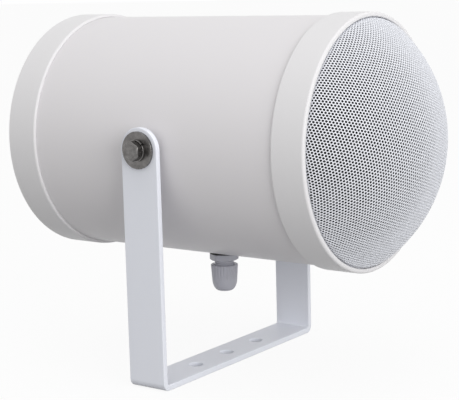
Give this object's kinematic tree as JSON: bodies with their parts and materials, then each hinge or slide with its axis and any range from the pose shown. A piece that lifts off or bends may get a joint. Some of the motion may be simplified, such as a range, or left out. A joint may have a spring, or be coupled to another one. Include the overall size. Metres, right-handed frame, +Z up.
{
  "type": "sound projector loudspeaker",
  "caption": "Loudspeaker in a round white tube with a domed perforated grille, tilting on two side bolts in a U-shaped steel bracket, with an empty cable gland underneath.",
  "frame": {"origin": "centre of the bracket base's middle hole, on the base's underside, below the pivot axis", "axes": "+X along the tube towards the grille, +Y along the pivot bolts to the speaker's left, +Z up"},
  "size_m": [0.2335, 0.1624, 0.2002],
  "materials": {
    "bracket_paint": "satin white powder coat",
    "tube_plastic": "satin off-white",
    "cap_plastic": "satin white",
    "grille_paint": "satin white powder coat",
    "black_cloth": "matte black woven cloth",
    "baffle_board": "matte black",
    "gasket_foam": "matte black foam",
    "basket_steel": "satin grey",
    "surround_cloth": "matte black",
    "cone_paper": "matte dark pulp",
    "spider_cloth": "matte treated cloth",
    "coil_copper": "satin enamelled wire",
    "plate_steel": "satin zinc plated",
    "ferrite": "matte dark grey ferrite",
    "core_iron": "satin varnished laminations",
    "phenolic": "satin brown laminate",
    "tab_brass": "satin tinned",
    "screw_steel": "satin",
    "block_plastic": "matte ivory",
    "lead_red": "satin insulation",
    "lead_blue": "satin insulation",
    "clip_plastic": "matte white",
    "stainless": "satin stainless steel",
    "black_rubber": "matte black",
    "gland_grey": "satin light grey"
  },
  "bodies": {
    "bracket": {"u_bracket": "bracket_paint"},
    "housing": {"housing_tube": "tube_plastic", "rear_cap": "cap_plastic", "front_ring": "cap_plastic", "grille": "grille_paint", "grille_cloth": "black_cloth", "baffle": "baffle_board", "driver_gasket": "gasket_foam", "driver_basket": "basket_steel", "surround": "surround_cloth", "spider": "spider_cloth", "top_plate": "plate_steel", "magnet": "ferrite", "yoke": "plate_steel", "terminal_strip": "phenolic", "terminal_tabs": "tab_brass", "driver_screws": "screw_steel", "transformer_core": "core_iron", "transformer_coil": "coil_copper", "transformer_clamp": "plate_steel", "transformer_screws": "screw_steel", "terminal_block": "block_plastic", "speaker_leads": "lead_red", "line_leads": "lead_blue", "lead_clips": "clip_plastic", "pivot_bolt_left": "stainless", "pivot_bolt_right": "stainless", "spring_washer_left": "stainless", "spring_washer_right": "stainless", "flat_washer_left": "stainless", "flat_washer_right": "stainless", "pivot_spacer_left": "black_rubber", "pivot_spacer_right": "black_rubber", "nut_plate_left": "plate_steel", "nut_plate_right": "plate_steel", "gland_washer": "black_rubber", "gland_body": "gland_grey", "gland_seal": "black_rubber", "gland_locknut": "gland_grey"},
    "cone": {"cone": "cone_paper", "dust_cap": "cone_paper", "voice_coil": "coil_copper"},
    "gland_nut": {"gland_nut": "gland_grey"}
  },
  "joints": [
    {"name": "housing_tilt", "type": "hinge", "parent": "bracket", "child": "housing", "pos_m": [0, 0, 0.131], "axis": [0, -1, 0], "range_deg": [-60, 240]},
    {"name": "cone_slide", "type": "slide", "parent": "housing", "child": "cone", "axis": [1, 0, 0], "range_m": [-0.0015, 0.0015], "stiffness_N_per_m": 2000, "deforming": ["surround", "spider"]},
    {"name": "gland_nut_turn", "type": "hinge", "parent": "housing", "child": "gland_nut", "pos_m": [0, 0, 0.048], "axis": [0, 0, -1], "range_deg": [0, 360]}
  ]
}
